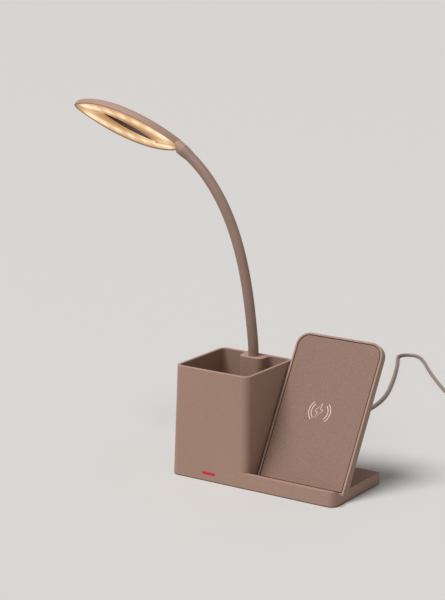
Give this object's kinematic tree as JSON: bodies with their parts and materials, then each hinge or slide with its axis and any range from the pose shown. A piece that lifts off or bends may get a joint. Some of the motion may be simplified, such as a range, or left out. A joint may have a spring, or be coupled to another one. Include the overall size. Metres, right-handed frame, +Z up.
{
  "type": "desk lamp",
  "caption": "Desk lamp with a leaf-shaped lit head on a flexible neck, a square pen cup and a tilted wireless charging stand on one low base, with its cable.",
  "frame": {"origin": "on the table, under the middle of the base, on the lower face of the rubber pad", "axes": "+X right and +Z up for someone facing the charging stand, +Y towards the lamp's back"},
  "size_m": [0.3276, 0.4732, 0.3057],
  "materials": {
    "taupe_shell": "fine-grained moulded ABS in warm taupe",
    "face_plate": "fine-grained moulded plate, a shade darker than the shell",
    "silicone": "smooth silicone sleeve in the shell's colour",
    "steel": "plain zinc-plated steel",
    "ballast": "black-oxide steel plate",
    "board": "green glass-fibre circuit board",
    "components": "moulded electronic parts",
    "copper": "bare copper winding and pad",
    "ferrite": "dark sintered ferrite",
    "light_board": "white-coated aluminium board",
    "led": "warm white light-emitting chips",
    "diffuser": "milky light-spreading plate",
    "indicator": "translucent red light window",
    "grip": "black rubber pad",
    "cover": "dark moulded cover",
    "cable": "smooth beige-grey cable jacket",
    "plug": "moulded plug grip"
  },
  "bodies": {
    "base": {"housing": "taupe_shell", "bottom_cover": "cover", "grip_pad": "grip", "cover_screws": "steel", "ballast_plate": "ballast", "main_board": "board", "board_parts": "components", "board_screws": "steel", "usb_c_socket": "steel", "indicator_window": "indicator", "indicator_led": "board", "touch_pad": "copper", "stand_shell": "taupe_shell", "stand_face": "face_plate", "charging_coil": "copper", "ferrite_sheet": "ferrite", "charger_board": "board", "stand_screws": "steel", "neck_ferrule": "steel", "neck_washer": "steel", "neck_nut": "steel", "lamp_lead": "cable", "usb_c_plug_shell": "steel", "usb_c_plug_body": "plug", "usb_c_relief": "plug", "cable_tube": "cable", "cable_coil": "cable", "cable_tail": "cable", "cable_tie": "grip", "usb_a_plug_body": "plug", "usb_a_plug_shell": "steel", "usb_a_relief": "plug", "neck_sleeve_0": "silicone", "neck_core_0": "steel"},
    "neck_1": {"neck_sleeve_1": "silicone", "neck_core_1": "steel"},
    "neck_2": {"neck_sleeve_2": "silicone", "neck_core_2": "steel"},
    "neck_3": {"neck_sleeve_3": "silicone", "neck_core_3": "steel"},
    "neck_4": {"neck_sleeve_4": "silicone", "neck_core_4": "steel"},
    "neck_5": {"neck_sleeve_5": "silicone", "neck_core_5": "steel"},
    "neck_6": {"neck_sleeve_6": "silicone", "neck_core_6": "steel"},
    "neck_7": {"neck_sleeve_7": "silicone", "neck_core_7": "steel"},
    "head": {"neck_sleeve_8": "silicone", "neck_core_8": "steel", "head_shell": "taupe_shell", "head_diffuser": "diffuser", "head_board": "light_board", "head_leds": "led", "head_screws": "steel"}
  },
  "joints": [
    {"name": "neck_bend_1", "type": "hinge", "parent": "base", "child": "neck_1", "pos_m": [-0.04093, 0.027, 0.10897], "axis": [0, 1, 0], "range_deg": [-18, 15]},
    {"name": "neck_side_1", "type": "hinge", "parent": "neck_1", "child": "neck_2", "pos_m": [-0.04423, 0.027, 0.13375], "axis": [0.9892, 0, 0.1468], "range_deg": [-18, 18]},
    {"name": "neck_bend_2", "type": "hinge", "parent": "neck_2", "child": "neck_3", "pos_m": [-0.04864, 0.027, 0.15836], "axis": [0, 1, 0], "range_deg": [-18, 15]},
    {"name": "neck_side_2", "type": "hinge", "parent": "neck_3", "child": "neck_4", "pos_m": [-0.05489, 0.027, 0.18255], "axis": [0.9559, 0, 0.2936], "range_deg": [-18, 18]},
    {"name": "neck_bend_3", "type": "hinge", "parent": "neck_4", "child": "neck_5", "pos_m": [-0.06365, 0.027, 0.20595], "axis": [0, 1, 0], "range_deg": [-18, 15]},
    {"name": "neck_side_3", "type": "hinge", "parent": "neck_5", "child": "neck_6", "pos_m": [-0.07549, 0.027, 0.22795], "axis": [0.8424, 0, 0.5388], "range_deg": [-18, 18]},
    {"name": "neck_bend_4", "type": "hinge", "parent": "neck_6", "child": "neck_7", "pos_m": [-0.09078, 0.027, 0.24768], "axis": [0, 1, 0], "range_deg": [-18, 15]},
    {"name": "neck_side_4", "type": "hinge", "parent": "neck_7", "child": "head", "pos_m": [-0.10961, 0.027, 0.26405], "axis": [0.573, 0, 0.8195], "range_deg": [-18, 18]}
  ],
  "couplings": [
    {"joint": "neck_bend_2", "follows": "neck_bend_1", "ratio": 1},
    {"joint": "neck_side_2", "follows": "neck_side_1", "ratio": 1},
    {"joint": "neck_bend_3", "follows": "neck_bend_1", "ratio": 1},
    {"joint": "neck_side_3", "follows": "neck_side_1", "ratio": 1},
    {"joint": "neck_bend_4", "follows": "neck_bend_1", "ratio": 1},
    {"joint": "neck_side_4", "follows": "neck_side_1", "ratio": 1}
  ]
}
